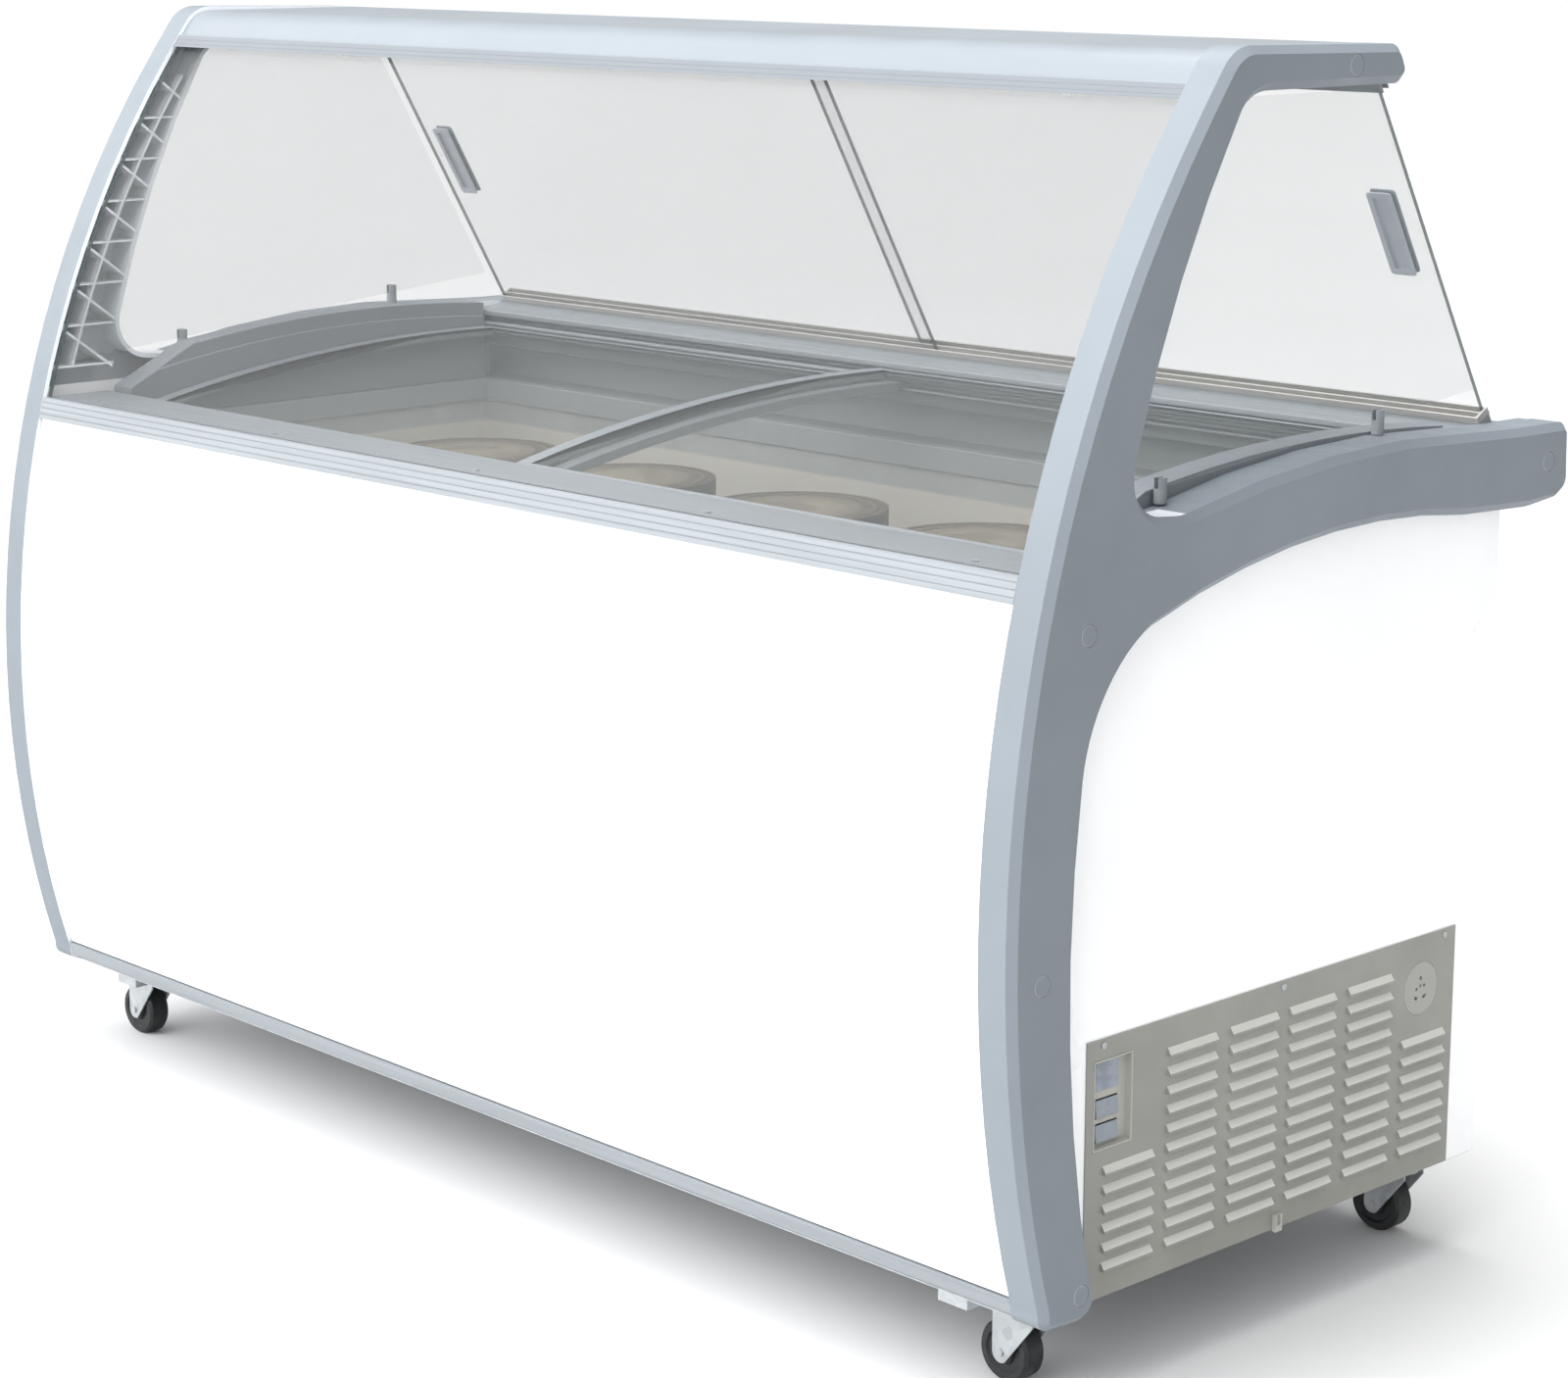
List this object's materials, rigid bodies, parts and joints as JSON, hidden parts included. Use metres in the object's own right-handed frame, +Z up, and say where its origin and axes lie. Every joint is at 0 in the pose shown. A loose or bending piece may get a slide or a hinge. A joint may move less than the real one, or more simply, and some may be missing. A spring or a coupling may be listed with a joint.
{
  "type": "ice cream dipping cabinet",
  "caption": "Chest freezer for scooped ice cream with a bowed front glass under a canopy, sliding inner lids, sliding rear doors, a side machine grille and swivel casters.",
  "frame": {"origin": "middle of the bounding box's bottom face, on the floor under the wheels", "axes": "+X along the cabinet towards the machine grille, -Y towards the customer and the bowed glass, +Z up"},
  "size_m": [1.726, 0.8529, 1.3001],
  "materials": {
    "white_panel": "satin powder coat",
    "frame_moulding": "fine textured moulding, light blue grey",
    "alu_profile": "satin anodised extrusion",
    "canopy_metal": "satin paint, light blue grey",
    "galvanised": "zinc plated",
    "tank_liner": "coated sheet",
    "collar_plastic": "smooth vacuum-formed plastic",
    "foam": "rigid foam",
    "copper_tube": "drawn tube",
    "dark_rim": "moulded",
    "grille_paint": "satin warm grey",
    "track_plastic": "extruded",
    "bezel_plastic": "moulded",
    "display_black": "tinted window",
    "switch_plastic": "moulded",
    "socket_plastic": "moulded",
    "glass": "clear",
    "lamp": "opal diffuser",
    "compressor_black": "black enamel",
    "black_plastic": "moulded",
    "rack_wire": "white dip coating",
    "tub_paper": "matte",
    "tub_lid": "matte brown",
    "wheel_rubber": "matte",
    "handle_grey": "moulded"
  },
  "bodies": {
    "cabinet": {"outer_casing": "white_panel", "front_panel": "white_panel", "base_pan": "galvanised", "base_runners": "galvanised", "bottom_trim": "alu_profile", "inner_tank": "tank_liner", "tank_collar": "collar_plastic", "foam_insulation": "foam", "evaporator_coil": "copper_tube", "drain_plug": "black_plastic", "front_rail": "alu_profile", "side_rims": "dark_rim", "rear_counter": "alu_profile", "left_side_frame": "frame_moulding", "right_side_frame": "frame_moulding", "frame_caps": "frame_moulding", "canopy_fascia": "canopy_metal", "canopy_top": "canopy_metal", "canopy_underside": "white_panel", "canopy_light": "lamp", "front_glass": "glass", "side_glass": "glass", "glass_clips": "alu_profile", "upper_door_track": "alu_profile", "lower_door_track": "track_plastic", "grille": "grille_paint", "cover_screws": "galvanised", "control_bezel": "bezel_plastic", "display_window": "display_black", "power_socket": "socket_plastic", "grille_catch": "bezel_plastic", "compressor": "compressor_black", "condenser": "galvanised", "fan_motor": "galvanised", "fan_shroud": "black_plastic", "refrigerant_tubing": "copper_tube", "cord_gland": "black_plastic", "tub_shelf": "rack_wire", "tubs": "tub_paper", "tub_lids": "tub_lid", "caster_plates": "galvanised"},
    "door_left": {"door_glass_left": "glass", "door_handle_left": "handle_grey"},
    "door_right": {"door_glass_right": "glass", "door_handle_right": "handle_grey"},
    "lid_left": {"lid_frame_left": "alu_profile", "lid_glass_left": "glass"},
    "lid_right": {"lid_frame_right": "alu_profile", "lid_glass_right": "glass"},
    "fan": {"fan_blade": "black_plastic"},
    "power_rocker": {"power_switch": "switch_plastic"},
    "light_rocker": {"light_switch": "switch_plastic"},
    "swivel_fl": {"caster_fork_fl": "galvanised"},
    "wheel_fl": {"caster_wheel_fl": "wheel_rubber"},
    "swivel_fr": {"caster_fork_fr": "galvanised"},
    "wheel_fr": {"caster_wheel_fr": "wheel_rubber"},
    "swivel_rl": {"caster_fork_rl": "galvanised"},
    "wheel_rl": {"caster_wheel_rl": "wheel_rubber"},
    "swivel_rr": {"caster_fork_rr": "galvanised"},
    "wheel_rr": {"caster_wheel_rr": "wheel_rubber"}
  },
  "joints": [
    {"name": "door_left_slide", "type": "slide", "parent": "cabinet", "child": "door_left", "axis": [1, 0, 0], "range_m": [0, 0.78]},
    {"name": "door_right_slide", "type": "slide", "parent": "cabinet", "child": "door_right", "axis": [1, 0, 0], "range_m": [-0.78, 0]},
    {"name": "lid_left_slide", "type": "slide", "parent": "cabinet", "child": "lid_left", "axis": [1, 0, 0], "range_m": [0, 0.74]},
    {"name": "lid_right_slide", "type": "slide", "parent": "cabinet", "child": "lid_right", "axis": [1, 0, 0], "range_m": [-0.74, 0]},
    {"name": "fan_spin", "type": "hinge", "parent": "cabinet", "child": "fan", "pos_m": [0.748, -0.11, 0.243], "axis": [1, 0, 0], "continuous": true},
    {"name": "power_rock", "type": "hinge", "parent": "cabinet", "child": "power_rocker", "pos_m": [0.8294, -0.2535, 0.298], "axis": [0, 1, 0], "range_deg": [0, 16]},
    {"name": "light_rock", "type": "hinge", "parent": "cabinet", "child": "light_rocker", "pos_m": [0.8294, -0.2535, 0.273], "axis": [0, 1, 0], "range_deg": [0, 16]},
    {"name": "swivel_fl_turn", "type": "hinge", "parent": "cabinet", "child": "swivel_fl", "pos_m": [-0.764, -0.285, 0.078], "axis": [0, 0, 1], "continuous": true},
    {"name": "wheel_fl_spin", "type": "hinge", "parent": "swivel_fl", "child": "wheel_fl", "pos_m": [-0.786, -0.285, 0.032], "axis": [0, 1, 0], "continuous": true},
    {"name": "swivel_fr_turn", "type": "hinge", "parent": "cabinet", "child": "swivel_fr", "pos_m": [0.764, -0.285, 0.078], "axis": [0, 0, 1], "continuous": true},
    {"name": "wheel_fr_spin", "type": "hinge", "parent": "swivel_fr", "child": "wheel_fr", "pos_m": [0.742, -0.285, 0.032], "axis": [0, 1, 0], "continuous": true},
    {"name": "swivel_rl_turn", "type": "hinge", "parent": "cabinet", "child": "swivel_rl", "pos_m": [-0.764, 0.312, 0.078], "axis": [0, 0, 1], "continuous": true},
    {"name": "wheel_rl_spin", "type": "hinge", "parent": "swivel_rl", "child": "wheel_rl", "pos_m": [-0.786, 0.312, 0.032], "axis": [0, 1, 0], "continuous": true},
    {"name": "swivel_rr_turn", "type": "hinge", "parent": "cabinet", "child": "swivel_rr", "pos_m": [0.764, 0.312, 0.078], "axis": [0, 0, 1], "continuous": true},
    {"name": "wheel_rr_spin", "type": "hinge", "parent": "swivel_rr", "child": "wheel_rr", "pos_m": [0.742, 0.312, 0.032], "axis": [0, 1, 0], "continuous": true}
  ]
}
